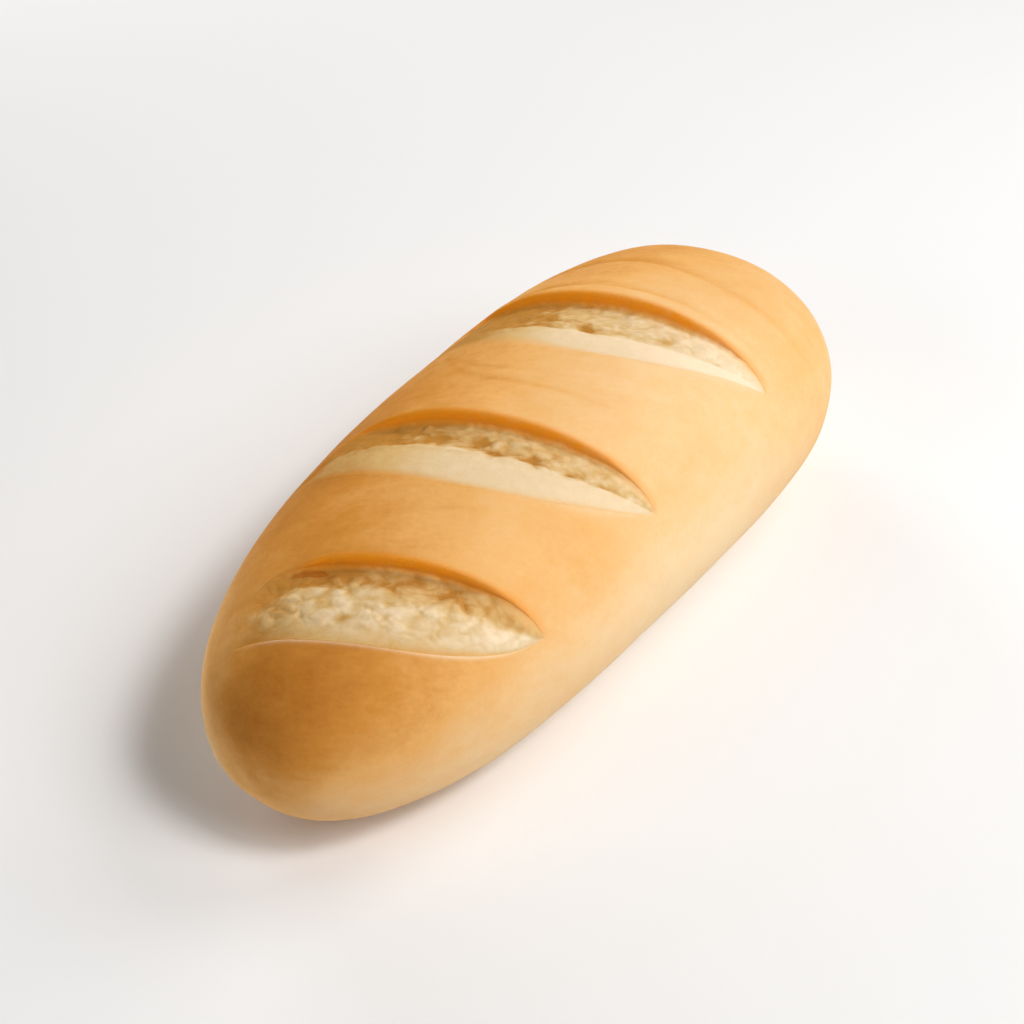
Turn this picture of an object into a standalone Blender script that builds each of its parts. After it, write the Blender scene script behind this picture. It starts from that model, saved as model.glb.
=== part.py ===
"""A long white loaf with three slanted slashes: one closed solid, standing on its own flat base.

Metres, +Z up. X runs along the loaf, from the near end at -X to the far end at +X.
The origin is the middle of the rectangle that the loaf covers, on the surface that it stands on.

The loaf starts as a ball with its poles on X. Every point of the ball has two numbers:
how far along it is, from pole to pole, and its angle round the X axis, counted from the crown
and growing towards -Y. The functions below give the place of such a point on the loaf.
"""

import math

import bmesh
import bpy
import numpy as np

MM = 0.001

# The plain loaf, before it is slashed.
LENGTH = 300 * MM
WIDTH = 130 * MM
HEIGHT = 88 * MM
WAIST = 0.40  # height of the widest line, as a share of HEIGHT
BASE_DROP = 4 * MM  # how far the round underside would reach below the base that cuts it flat
SIDEWAYS_BOW = 5 * MM  # the middle lies this much further towards +Y than the ends
WIDER_FAR = 0.08  # share by which the far end is wider, and the near end narrower
TALLER_FAR = 0.085
PLAN_NEAR = 2.45  # superellipse powers: 2 is a plain ellipse, and more is squarer
PLAN_FAR = 3.0
ARCH_NEAR = 2.75
ARCH_FAR = 2.95
CROWN_POWER = 2.1
UNDER_POWER = 2.3
UNDER_END_FULLNESS = 1.15  # the underside keeps its depth closer to the ends than the crown does

# Each slash lies along a middle line x = middle + slant * sin(angle), from its left tip to its right
# tip. Its two lips bow away from that line by near_bow and far_bow. A lean above 1 moves the widest
# place of that lip towards the right tip, and one below 1 towards the left tip.
SLASHES = (
    dict(middle=-107 * MM, slant=43.5 * MM, left_tip=-40, right_tip=70, fullness=0.8,
         near_bow=24 * MM, near_lean=1.6, far_bow=16.5 * MM, far_lean=0.46),
    dict(middle=-28 * MM, slant=30 * MM, left_tip=-53, right_tip=61, fullness=0.83,
         near_bow=24 * MM, near_lean=1.15, far_bow=9.5 * MM, far_lean=0.7),
    dict(middle=50 * MM, slant=27 * MM, left_tip=-62, right_tip=54, fullness=0.9,
         near_bow=20 * MM, near_lean=1.1, far_bow=15 * MM, far_lean=0.77),
)
SLASH_DEPTH = 11 * MM
TIP_FADE = 1.2  # power of the sine arch by which a slash's depth fades towards its two tips
TROUGH = 0.72  # the deepest line, as a share of the way from the near lip to the far lip
NEAR_SLOPE_POWER = 1.5
FAR_WALL_POWER = 2.5
RIM_LIFT = 2.5 * MM  # the far lip stands this far above the plain loaf
RIM_LIFT_POWER = 8  # more keeps the lift closer to the lip on its crumb side
RIM_SPREAD = 14 * MM  # how far the lift takes to settle on its crust side
RIM_OVERHANG = 2.5 * MM
RIM_OVERHANG_REACH = 5 * MM
RIM_OVERHANG_DEPTH = 0.3  # share of the slash's depth down to which the wall leans over with the rim
NARROWEST = 0.1 * MM
CRUMB_BUMP = 0.8 * MM
CRUMB_WAVES = 4
CRUMB_WAVE_LENGTH = 16 * MM
CRUMB_WAVE_SHORTENING = 0.82
GOLDEN_ANGLE = math.pi * (3 - math.sqrt(5))

# Two shallow folds across the far end, along x = middle + slant * sin(angle).
FOLDS = (
    dict(middle=76.5 * MM, slant=10 * MM, left_end=-62, right_end=60, depth=0.8 * MM),
    dict(middle=97 * MM, slant=8 * MM, left_end=-62, right_end=75, depth=1.2 * MM),
)
FOLD_HALF_WIDTH = 2.5 * MM

# Steps by which the surface's direction is found.
SHORT_STEP = 0.5 * MM
SHORT_TURN = 0.005
TINY = 1e-12

# How the ball is divided.
AROUND = 60
CROWN_CROWDING = 0.35  # 0 spreads the lines round the loaf evenly, and more crowds them on the crown
LEAST_GUIDE = 6 * MM  # half the width of the band of lines along a slash, where the slash closes
UNDER_GUIDE = 12 * MM  # and half its width underneath the loaf
GUIDE_POWER = 6  # more turns the band's edge more sharply from a lip to its least width
STEPS_NEAR_END = 11
STEPS_BETWEEN_SLASHES = 10
STEPS_TO_FOLDS = 2
STEPS_BETWEEN_FOLDS = 4
STEPS_FAR_END = 12
SLASH_SHARES = (0.0, 0.12, 0.25, 0.38, 0.51, 0.63, 0.73, 0.82, 0.9, 0.96, 1.0)
BEHIND_RIM = 3 * MM

CRUST_COLOUR = (0.72, 0.40, 0.13, 1.0)
CRUST_ROUGHNESS = 0.55


def clear_scene():
    for item in list(bpy.data.objects):
        bpy.data.objects.remove(item, do_unlink=True)


def superellipse(share, power):
    """(1 - |share|^power)^(1/power): 1 in the middle and 0 at a share of 1."""
    return np.clip(1 - np.abs(share) ** power, 0, 1) ** (1 / power)


def plain_loaf(x, angle):
    """The loaf before it is slashed.

    In plan and from the side it is a superellipse, fuller at the far end. Each cross-section is a
    superellipse too, rounder above its widest line than below it, and cut flat at the base.
    """
    share = x / (LENGTH / 2)
    plan = superellipse(share, np.where(share < 0, PLAN_NEAR, PLAN_FAR)) * (1 + WIDER_FAR * share)
    arch = superellipse(share, np.where(share < 0, ARCH_NEAR, ARCH_FAR)) * (1 + TALLER_FAR * share)
    across = np.sin(angle)
    upward = np.cos(angle)
    power = 2 / np.where(upward >= 0, CROWN_POWER, UNDER_POWER)
    side = -np.sign(across) * np.abs(across) ** power
    lift = np.sign(upward) * np.abs(upward) ** power
    waist = WAIST * HEIGHT
    y = WIDTH / 2 * plan * side + SIDEWAYS_BOW * (1 - share**2)
    above = waist + (HEIGHT - waist) * arch * lift
    below = waist + (waist + BASE_DROP) * np.minimum(1, UNDER_END_FULLNESS * arch) * lift
    z = np.maximum(np.where(lift >= 0, above, below), 0)
    return np.stack([x, y, z], axis=-1)


def outward(x, angle):
    """The direction square to the plain loaf's surface, from a short step along it and one around it."""
    limit = LENGTH / 2 - SHORT_STEP
    inside = np.clip(x, -limit, limit)
    along = plain_loaf(inside + SHORT_STEP, angle) - plain_loaf(inside - SHORT_STEP, angle)
    around = plain_loaf(inside, angle + SHORT_TURN) - plain_loaf(inside, angle - SHORT_TURN)
    normal = np.cross(around, along)
    return normal / np.maximum(np.linalg.norm(normal, axis=-1, keepdims=True), TINY)


def progress(angle, left, right):
    """0 at the left end of a slash or fold and 1 at its right end, for angles between the two."""
    return np.clip((angle - math.radians(left)) / math.radians(right - left), 0, 1)


def lip_bow(along, bow, lean, fullness):
    """How far a lip lies from the slash's middle line: a sine arch that leans to one side."""
    return bow * np.abs(np.sin(math.pi * along**lean)) ** fullness


def lips(slash, angle):
    """x of the near lip and of the far lip."""
    along = progress(angle, slash["left_tip"], slash["right_tip"])
    middle = slash["middle"] + slash["slant"] * np.sin(angle)
    near = middle - lip_bow(along, slash["near_bow"], slash["near_lean"], slash["fullness"])
    far = middle + lip_bow(along, slash["far_bow"], slash["far_lean"], slash["fullness"])
    return near, far


def crumb_bumps(x, angle):
    """Low uneven bumps: crossing waves, each shorter than the last and turned by the golden angle."""
    girth = angle * WIDTH / 2
    total = np.zeros_like(x)
    for wave in range(CRUMB_WAVES):
        turn = wave * GOLDEN_ANGLE
        length = CRUMB_WAVE_LENGTH * CRUMB_WAVE_SHORTENING**wave
        total += np.sin((x * math.cos(turn) + girth * math.sin(turn)) * 2 * math.pi / length + wave)
    return CRUMB_BUMP * total / math.sqrt(CRUMB_WAVES)


def slash_relief(slash, x, angle):
    """Height above the plain loaf, and how far the rim leans over, both for one slash.

    From the near lip the crumb slopes down to the trough, and a steep wall rises to the far lip.
    Behind that lip the crust is lifted, and it settles over RIM_SPREAD.
    """
    near, far = lips(slash, angle)
    width = far - near
    openness = np.sin(math.pi * progress(angle, slash["left_tip"], slash["right_tip"])) ** TIP_FADE
    share = (x - near) / np.maximum(width, NARROWEST)
    slope = np.clip(share / TROUGH, 0, 1) ** NEAR_SLOPE_POWER
    wall = 1 - np.clip((share - TROUGH) / (1 - TROUGH), 0, 1) ** FAR_WALL_POWER
    inside = (share > 0) & (share < 1)
    cut = np.where(inside, np.where(share < TROUGH, slope, wall), 0) * openness
    behind = np.clip(x - far, 0, None)
    settling = np.where(share < 1, np.clip(share, 0, 1) ** RIM_LIFT_POWER, np.exp(-behind / RIM_SPREAD))
    height = RIM_LIFT * openness * settling - SLASH_DEPTH * cut + crumb_bumps(x, angle) * cut
    at_rim = np.exp(-(((x - far) / RIM_OVERHANG_REACH) ** 2) - (cut / RIM_OVERHANG_DEPTH) ** 2)
    return height, RIM_OVERHANG * openness * at_rim


def fold_relief(fold, x, angle):
    """A narrow round-bottomed groove that fades out at both ends."""
    along = progress(angle, fold["left_end"], fold["right_end"])
    line = fold["middle"] + fold["slant"] * np.sin(angle)
    groove = np.exp(-(((x - line) / FOLD_HALF_WIDTH) ** 2))
    return -fold["depth"] * groove * np.sin(math.pi * along)


def loaf_point(x, angle):
    """The place on the slashed loaf of the point at length x and angle."""
    height = np.zeros_like(x)
    overhang = np.zeros_like(x)
    for slash in SLASHES:
        raised, leaning = slash_relief(slash, x, angle)
        height += raised
        overhang += leaning
    for fold in FOLDS:
        height += fold_relief(fold, x, angle)
    point = plain_loaf(x, angle) + outward(x, angle) * height[..., None]
    point[..., 0] -= overhang
    return point


def way_under(angle, left, right):
    """0 to 1 on the way under the loaf from the right end of a slash back to its left end."""
    start = math.radians(right)
    gap = 2 * math.pi - math.radians(right - left)
    passed = np.where(angle >= start, angle - start, angle + 2 * math.pi - start)
    return np.where(passed > gap, 0, passed / gap)


def guide_sine(angle, left, right):
    """sin(angle) between two ends, and under the loaf a smooth way back from one end to the other."""
    start = math.sin(math.radians(left))
    end = math.sin(math.radians(right))
    under = way_under(angle, left, right)
    back = end + (start - end) * (1 - np.cos(math.pi * under)) / 2
    return np.where(under > 0, back, np.sin(angle))


def at_least(value, least):
    """The larger of two lengths, with a smooth change from one to the other."""
    return (value**GUIDE_POWER + least**GUIDE_POWER) ** (1 / GUIDE_POWER)


def slash_lines(slash, angle):
    """x of the lines that follow a slash: from lip to lip, and one behind the rim."""
    along = progress(angle, slash["left_tip"], slash["right_tip"])
    middle = slash["middle"] + slash["slant"] * guide_sine(angle, slash["left_tip"], slash["right_tip"])
    near_bow = lip_bow(along, slash["near_bow"], slash["near_lean"], slash["fullness"])
    far_bow = lip_bow(along, slash["far_bow"], slash["far_lean"], slash["fullness"])
    under = np.sin(math.pi * way_under(angle, slash["left_tip"], slash["right_tip"])) ** 2
    least = LEAST_GUIDE + (UNDER_GUIDE - LEAST_GUIDE) * under
    near = middle - at_least(near_bow, least)
    far = middle + at_least(far_bow, least)
    lines = [near + (far - near) * share for share in SLASH_SHARES]
    return lines + [far + BEHIND_RIM]


def fold_lines(fold, angle):
    line = fold["middle"] + fold["slant"] * guide_sine(angle, fold["left_end"], fold["right_end"])
    return [line - FOLD_HALF_WIDTH, line, line + FOLD_HALF_WIDTH]


def in_turn(first, last, steps):
    """The angles along the loaf between two lines, first left out: even steps, so closer at the ends."""
    return [first + (last - first) * step / steps for step in range(1, steps + 1)]


def along_loaf(angle):
    """x of every line that crosses the loaf, pole to pole, for each angle given."""
    def turned(x):
        return np.arcsin(np.clip(x / (LENGTH / 2), -1, 1))

    lines = [np.full_like(angle, -math.pi / 2)]
    groups = [(STEPS_NEAR_END, slash_lines(SLASHES[0], angle))]
    groups += [(STEPS_BETWEEN_SLASHES, slash_lines(slash, angle)) for slash in SLASHES[1:]]
    groups += [(STEPS_TO_FOLDS, fold_lines(FOLDS[0], angle))]
    groups += [(STEPS_BETWEEN_FOLDS, fold_lines(FOLDS[1], angle))]
    for steps, group in groups:
        lines += in_turn(lines[-1], turned(group[0]), steps)
        lines += [turned(line) for line in group[1:]]
    lines += in_turn(lines[-1], np.full_like(angle, math.pi / 2), STEPS_FAR_END)
    return LENGTH / 2 * np.sin(np.array(lines))


def bread_crust():
    material = bpy.data.materials.new("crust")
    material.use_nodes = True
    shader = material.node_tree.nodes["Principled BSDF"]
    shader.inputs["Base Color"].default_value = CRUST_COLOUR
    shader.inputs["Roughness"].default_value = CRUST_ROUGHNESS
    shader.inputs["Metallic"].default_value = 0.0
    material.diffuse_color = CRUST_COLOUR
    return material


def shape_ball(mesh, across):
    """Moves every point of a ball, whose poles are on Z, to its place on the loaf."""
    ball = np.array([vertex.co for vertex in mesh.verts])
    ring = np.rint(np.arccos(np.clip(-ball[:, 2], -1, 1)) / math.pi * (len(across) - 1)).astype(int)
    turn = np.arctan2(ball[:, 1], ball[:, 0])
    column = np.rint(turn / (2 * math.pi) * AROUND).astype(int) % AROUND
    place = loaf_point(across[ring, column], column_angles()[column])
    middle = (place.max(axis=0) + place.min(axis=0)) / 2
    place[:, 1] -= middle[1]
    for vertex, point in zip(mesh.verts, place):
        vertex.co = point


def column_angles():
    """The angle of each line from pole to pole: closer together on the crown than underneath."""
    even = np.arange(AROUND) / AROUND * 2 * math.pi
    even = np.where(even > math.pi, even - 2 * math.pi, even)
    return even - CROWN_CROWDING * np.sin(even)


def loaf():
    across = along_loaf(column_angles())
    mesh = bmesh.new()
    bmesh.ops.create_uvsphere(mesh, u_segments=AROUND, v_segments=len(across) - 1, radius=1)
    shape_ball(mesh, across)
    bmesh.ops.recalc_face_normals(mesh, faces=mesh.faces)
    data = bpy.data.meshes.new("loaf")
    mesh.to_mesh(data)
    mesh.free()
    data.materials.append(bread_crust())
    data.shade_smooth()
    item = bpy.data.objects.new("loaf", data)
    bpy.context.scene.collection.objects.link(item)
    return item


clear_scene()
loaf()
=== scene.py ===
"""Looks for the long white loaf: its baked crust, the torn crumb in its three slashes, and the stage.

Metres, +Z up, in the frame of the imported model. A point of the loaf has two numbers: x, how far
along it is, and angle, its turn round the X axis from the crown towards -Y. The crust is a skin
over that grid. Each slash has a bed of crumb, a closed body that lies in the crust's hollow.
"""

import functools
import itertools
import math

import bpy
import numpy as np
from mathutils import Matrix, Vector


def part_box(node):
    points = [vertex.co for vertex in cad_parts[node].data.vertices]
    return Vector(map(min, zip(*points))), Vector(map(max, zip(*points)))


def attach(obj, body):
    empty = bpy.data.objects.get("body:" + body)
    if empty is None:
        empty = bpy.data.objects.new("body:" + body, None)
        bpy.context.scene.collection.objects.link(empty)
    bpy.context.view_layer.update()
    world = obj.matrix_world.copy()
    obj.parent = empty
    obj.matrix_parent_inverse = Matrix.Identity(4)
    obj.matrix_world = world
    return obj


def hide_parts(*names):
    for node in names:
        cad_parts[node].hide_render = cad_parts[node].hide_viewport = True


bl_info = {
    "name": "Long white loaf",
    "version": (1, 0, 0),
    "blender": (4, 5, 0),
    "location": "View3D > Sidebar > Loaf",
    "description": "Makes the crust, the torn crumb and the stage of a long slashed white loaf",
    "category": "Object",
}

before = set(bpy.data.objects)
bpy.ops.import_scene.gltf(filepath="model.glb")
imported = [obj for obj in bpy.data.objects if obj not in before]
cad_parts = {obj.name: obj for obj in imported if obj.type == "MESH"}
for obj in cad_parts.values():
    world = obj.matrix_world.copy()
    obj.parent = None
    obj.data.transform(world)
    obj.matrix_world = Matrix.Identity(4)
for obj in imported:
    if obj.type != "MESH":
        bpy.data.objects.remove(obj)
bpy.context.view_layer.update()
LOAF_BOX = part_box("loaf")

MM = 0.001
TINY = 1e-12

# The plain loaf, before it is slashed. These are the values that the solid is made with.
WAIST = 0.40
BASE_DROP = 4 * MM
SIDEWAYS_BOW = 5 * MM
WIDER_FAR = 0.08
TALLER_FAR = 0.085
PLAN_NEAR = 2.45
PLAN_FAR = 3.0
ARCH_NEAR = 2.75
ARCH_FAR = 2.95
CROWN_POWER = 2.1
UNDER_POWER = 2.3
UNDER_END_FULLNESS = 1.15
SHORT_STEP = 0.5 * MM  # along the loaf, and
SHORT_TURN = 0.005  # in radians round it, to find which way its surface faces

# Where the three slashes lie: middle line x = middle + slant * sin(angle), and two lips bowed away
# from it, each with the bow, lean and fullness of lip_bow. Its first part, hidden, tapers to a point
# round the loaf's left, and all that comes next is counted from the end of that part: the bed of
# crumb in it, where the rim and its colour start and where the rim ends, how the near lip swells and
# how far and how much it pales, which is a highlight painted along it, where the crumb is browned
# over at the left, how much it takes the crust's colour at the near lip, how much more golden it is at
# the left, which is painted shade, and less so from right_start on, which is painted light, where
# across the slash the smooth crumb steps down to the torn crumb (at the left and at the right), and
# where holes with painted golden shade lie, along and across, and how large they are.
SLASHES = (
    dict(piece="crumb_near", middle=-106.4 * MM, slant=45.5 * MM, left_tip=-35, right_tip=66,
         hidden=0,
         near_lip=(25.8 * MM, 1.95, 0.5), far_lip=(19.3 * MM, 0.392, 0.9),
         bed="tufted", rim_start=(0.16, 0.3), tint_start=(0.14, 0.26), rim_end=(0.98, 0.68),
         edge_swell=0.25 * MM, pale_reach=0.8 * MM, pale_lip_highlight=0.4, browned=(0.04, 0.2), lip_blend=0,
         golden_left=0.38, golden_right=0.12, right_start=0.65, step_place=(0.56, 0.7),
         holes=((0.225, 0.78, 3), (0.44, 0.3, 0.8), (0.54, 0.49, 0.8), (0.66, 0.77, 0.9))),
    dict(piece="crumb_middle", middle=-34.8 * MM, slant=38 * MM, left_tip=-58, right_tip=58.5,
         hidden=0.12,
         near_lip=(20 * MM, 1.613, 0.78), far_lip=(24.2 * MM, 0.463, 0.777),
         bed="smooth", rim_start=(0, 0.16), tint_start=(-0.06, 0.06), rim_end=(1, 0.72),
         edge_swell=0, pale_reach=1.6 * MM, pale_lip_highlight=0, browned=(-0.06, 0.04), lip_blend=1,
         golden_left=0.5, golden_right=0.12, right_start=0.45, step_place=(0.42, 0.6),
         holes=((0.2, 0.47, 1), (0.338, 0.555, 1), (0.448, 0.6, 1), (0.51, 0.545, 1),
                (0.6, 0.61, 1.3), (0.725, 0.6, 1), (0.818, 0.63, 0.9))),
    dict(piece="crumb_far", middle=44.4 * MM, slant=33.7 * MM, left_tip=-68, right_tip=54.5,
         hidden=0.114,
         near_lip=(16 * MM, 1.306, 1.03), far_lip=(29.65 * MM, 0.446, 0.72),
         bed="open", rim_start=(-0.04, 0.1), tint_start=(-0.1, 0), rim_end=(1, 0.72),
         edge_swell=0, pale_reach=1.6 * MM, pale_lip_highlight=0, browned=(-0.04, 0.06), lip_blend=1,
         golden_left=0.8, golden_right=0.42, right_start=0.42, step_place=(0.24, 0.58),
         holes=((0.25, 0.43, 1.3), (0.345, 0.47, 0.9), (0.468, 0.44, 1.2), (0.66, 0.66, 0.8))),
)
TIP_FADE = 0.8  # power of the sine arch by which a slash's depth fades towards its tips
LEFT_FADE = 0.24  # share of its length over which it opens at the left, from LEFT_OPEN on
LEFT_OPEN = 0.35
RIGHT_FADE = 0.4  # share of the depth that is lost at the right, over the stretch RIGHT_FADING
RIGHT_FADING = (0.7, 0.97)
RIGHT_PART = (0.68, 0.95)  # the stretch over which the crust's edge changes towards the right tip
TROUGH = 0.72  # the deepest line, as a share of the way from the near lip to the far lip
RIM_SPREAD = 14 * MM  # how far the lift takes to settle on its crust side
RIM_PALING = 0.4  # how much of the rim's colour is lost over the stretch RIM_PALES
RIM_PALES = (0.62, 0.96)
RIM_SPREADING = 2.4  # and how many millimetres further out it reaches at the right tip
RIM_TINTED = (-1.4, 2.4)  # its colour comes in between these two, in millimetres in from the lip
TIP_PALING = 0.5  # how much paler the crust is beside a slash's right end
RIM_TIP_POWER = 0.25  # of the openness by which the rim's colour fades at the very tips
PALE_START = (0.05, 0.3)  # where along a slash the crust beside its near lip starts to be paler
PALE_TIP_POWER = 0.35
HOLLOW_PALE = (1.2 * MM, 2 * MM)  # the hollow takes the crumb's colour so far in from the near lip
HOLLOW_PALE_IN = 5  # and so many millimetres in from the far lip
RIM_LEAN = 0.3 * MM
CREST_ROUNDING = 0.15  # share of the lift that is taken off right at the lip, so that its crest is round
CREST_REACH = 2 * MM
RIM_STRENGTH = 0.97  # of the rim's colour over the crust's own
RIM_OVERHANG_REACH = 5 * MM
NARROWEST = 0.1 * MM

# The crust's section at a far lip, in millimetres: way in from the crest, then place seen from the lip
# (less is towards the slash) and height where it is curled, as a rim is, and where it is worn.
LIP_SECTION = (
    (0, -0.3, 1.87, 0, 0.6),
    (0.7, -0.95, 1.72, -0.7, 0.56),
    (1.3, -1.45, 1.42, -1.3, 0.44),
    (2, -1.95, 0.9, -2, 0.08),
    (2.9, -2.3, 0.15, -2.8, -0.7),
    (3.7, -2.35, -0.8, -3.2, -2),
    (4.5, -2.1, -2.2, -3.4, -4),
    (5.3, -1.8, -3.9, -3.6, -6),
    (6.5, -2, -8, -5, -9),
    (8, -8, -11, -8, -11),
)
WORN_LIFT = 0.32  # share of the rim's lift that is left where there is no rim
HOLLOW_DEPTH = 12 * MM  # of the hollow in the crust, which the crumb fills
HOLLOW_GAP = 2.5 * MM  # and the room under the crumb
LIP_DROP = 1.7 * MM  # the crust drops into the hollow over this length
LIP_DROP_SHARE = 0.32  # and by this share of its depth
SWELL_REACH = 2.2 * MM  # of the swelling beside the near lip
SWELL_LOSS = 0.8  # share of it that is lost at the right tip

# How far the crust is baked, 0 to 1, on the sides and on the near end. Browner towards the left flank
# is partly painted shade, and paler on the near end's left side is painted light. Each change has an
# amount, and the two places or facings between which it comes in.
SIDE_BAKE = 0.43
MIDDLE_PALER = (0.22, -60 * MM, 45 * MM)
FAR_END_BROWNER = (0.17, 55 * MM, 115 * MM)
LEFT_BROWNER_AND_SHADED = 0.42
LEFT_LESS_AT_FAR_END = (0.07, 55 * MM, 110 * MM)
LEFT_FACING = (0.38, -0.57)
LOW_PALER = 0.09
LOW_MORE_AT_NEAR_END = (0.20, 75 * MM, 0)
LOW_FACING = (0.7, 0.08)
END_BAKE = 0.90
END_PALER_RIGHT = (0.28, 0.2, 1)
# Paler on the near end's left side: painted light over a band of shade there.
END_PAINTED_LIGHT_LEFT = (0.28, 0, -0.5)
END_PAINTED_LIGHT_FAR_LEFT = (0.2, -0.5, -0.9)
END_PALER_LOW = (0.45, 0.57, -0.32)
END_FROM = (-50 * MM, -140 * MM)

# Two shallow folds across the far end, and low streaks where the dough was rolled. Each follows the
# line x = middle + slant * sin(angle), and bends towards the near end on the loaf's left. Along
# each the crust's colour is also darkened, as painted shade in the groove.
FOLDS = (
    dict(middle=73.2 * MM, slant=12.6 * MM, bend=6 * MM, left_end=-75, right_end=44, depth=0.9 * MM,
         half_width=1.3 * MM, groove_shade=0.16),
    dict(middle=98.3 * MM, slant=6 * MM, bend=6 * MM, left_end=-75, right_end=64, depth=0.9 * MM,
         half_width=1.8 * MM, groove_shade=0.12),
    dict(middle=4.8 * MM, slant=22 * MM, bend=-11 * MM, left_end=-45, right_end=32, depth=0.15 * MM,
         half_width=1.5 * MM, groove_shade=0.11),
    dict(middle=13 * MM, slant=26 * MM, bend=-8 * MM, left_end=-40, right_end=10, depth=0.1 * MM,
         half_width=1.2 * MM, groove_shade=0.07),
)
FOLD_BEND_START = -8  # degrees
FOLD_BEND_TURN = 22
UNDULATION = 0.35 * MM
UNDULATION_SIZE = 26 * MM

# Sections of the crumb beds: way across, share of the slash's width, place and height in
# millimetres, how much of the torn relief shows there, how golden the crumb is (more in the dip
# beside the near lip and up the far wall, which is partly painted shade), and how much it takes the
# colour of the rim. All three climb the curled rim in the same way.
RIM_SIDE = (
    (0.84, 0.95, -2.6, -2.7, 0.6, 0.78, 0.18),
    (0.88, 1, -3.3, -1.7, 0.42, 0.82, 0.65),
    (0.91, 1, -2.9, -0.7, 0.15, 0.8, 0.95),
    (0.94, 1, -2.5, 0.15, 0.05, 0.85, 1),
    (0.97, 1, -1.95, 1, 0, 0.9, 0.95),
    (1, 1, -1.3, 1.57, 0, 1, 0.8),
)
TUFTED_BED = (
    (0, 0, -1.6, -2.4, 0, 0.8, 0),
    (0.03, 0, 0.1, -0.5, 0, 0.78, 0),
    (0.07, 0.03, 0.2, -0.6, 0.05, 0.68, 0),
    (0.15, 0.12, 0, -0.6, 0.3, 0.54, 0),
    (0.27, 0.26, 0, -0.2, 0.8, 0.42, 0),
    (0.4, 0.42, 0, -0.2, 1, 0.38, 0),
    (0.53, 0.58, 0, -1, 1, 0.52, 0),
    (0.63, 0.7, 0, -2.6, 0.9, 0.78, 0),
    (0.71, 0.8, 0, -3.5, 0.75, 0.88, 0),
    (0.78, 0.88, -1, -3.5, 0.6, 0.86, 0.03),
) + RIM_SIDE
SMOOTH_BED = (
    (0, 0, -2.4, -0.9, 0, 0.5, 0),
    (0.03, 0, -1.2, -0.05, 0, 0.46, 0),
    (0.06, 0, -0.3, 0.06, 0, 0.44, 0),
    (0.1, 0.04, 0, 0, 0.02, 0.42, 0),
    (0.18, 0.14, 0, -0.1, 0.06, 0.37, 0),
    (0.29, 0.28, 0, -0.3, 0.1, 0.35, 0),
    (0.4, 0.42, 0, -0.6, 0.25, 0.36, 0),
    (0.46, 0.49, 0, -0.9, 0.5, 0.42, 0),
    (0.5, 0.53, 0, -1.7, 0.8, 0.64, 0),
    (0.58, 0.63, 0, -2.4, 0.8, 0.63, 0),
    (0.68, 0.76, 0, -2.9, 0.75, 0.65, 0),
    (0.78, 0.88, -1, -3.1, 0.6, 0.68, 0.03),
) + RIM_SIDE
OPEN_BED = (
    (0, 0, -2.4, -0.9, 0, 0.46, 0),
    (0.03, 0, -1.2, -0.05, 0, 0.42, 0),
    (0.06, 0, -0.3, 0.06, 0, 0.4, 0),
    (0.1, 0.04, 0, 0, 0.02, 0.36, 0),
    (0.18, 0.15, 0, -0.1, 0.05, 0.31, 0),
    (0.27, 0.26, 0, -0.3, 0.12, 0.29, 0),
    (0.34, 0.34, 0, -0.6, 0.3, 0.32, 0),
    (0.39, 0.39, 0, -1.2, 0.7, 0.56, 0),
    (0.48, 0.5, 0, -1.7, 0.75, 0.53, 0),
    (0.58, 0.62, 0, -2.3, 0.75, 0.55, 0),
    (0.68, 0.75, 0, -2.7, 0.7, 0.56, 0),
    (0.78, 0.87, -1, -3, 0.6, 0.6, 0.03),
) + RIM_SIDE
# Place and height alone on the far side where there is no rim: the crumb runs out on the worn crust.
WORN_SIDE = (
    (0.5, 0, -0.9),
    (0.7, 0, -1.2),
    (0.78, -0.6, -1.1),
    (0.84, -2.2, -0.6),
    (0.88, -2, 0.12),
    (0.94, -1.1, 0.54),
    (1, 0, 0.64),
)
BEDS = dict(tufted=TUFTED_BED, smooth=SMOOTH_BED, open=OPEN_BED)
BED_STEPS = dict(tufted=0.58, smooth=0.48, open=0.37)  # where across each section its step lies
HOLE_HALF_LENGTH = 0.024  # as a share of the slash's length
HOLE_HALF_WIDTH = 0.05  # and of its width
HOLE_RAGGEDNESS = (0.006, 0.02)  # along and across, as shares too
TUFT_DRAW = ((0.91, 0.13, 0.0), (0.13, 0.81, 0.0), (0.0, 0.0, 1.0))  # draws the tufts out along a slash
BED_THICKNESS = 3.5 * MM
TUFT_SIZES = (7.0 * MM, 3.4 * MM, 1.6 * MM, 0.8 * MM)  # of the torn relief, from the largest down
TUFT_WARP_SIZE = 6 * MM
TUFT_WARP = 1.2 * MM
PATCH_SIZES = (5.0 * MM, 2.3 * MM)  # of its golden patches
STEP_WANDER = 0.045  # how raggedly the step between smooth and torn crumb runs, as a share across
# More golden in the creases and holes is painted shade; the patches are the crumb's own uneven colour.
PATCH_GOLD = 0.32  # how much more golden the crumb is in its patches, creases and holes
CREASE_SHADE_GOLD = 0.20
HOLE_SHADE_GOLD = 0.45
TUFT_PALING = 0.08  # and how much less so on its tufts
BROWN_HOLE = 1.4  # a hole deeper than this is baked brown
BROWN_HOLE_BAKE = 0.7
WORN_FROM = (0.5, 0.7)  # where across a bed the worn far side takes over
STEP_MOVES = (0.3, 0.68)  # along which stretch of a slash its step changes place
RAGGED_SIZES = (7 * MM, 3 * MM)  # of the noise that makes edges ragged
WANDER_WITHIN = ((0.15, 0.4), (0.99, 0.8))  # across: where the wandering comes in and goes out
RELIEF_TIP_POWER = 0.8
# More golden towards a slash's left end is painted shade, less golden towards its right end painted light.
GOLD_LEFT = (0.5, 0.08)  # where along a slash the crumb gets more golden towards its left end
GOLD_RIGHT_END = 0.95
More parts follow.
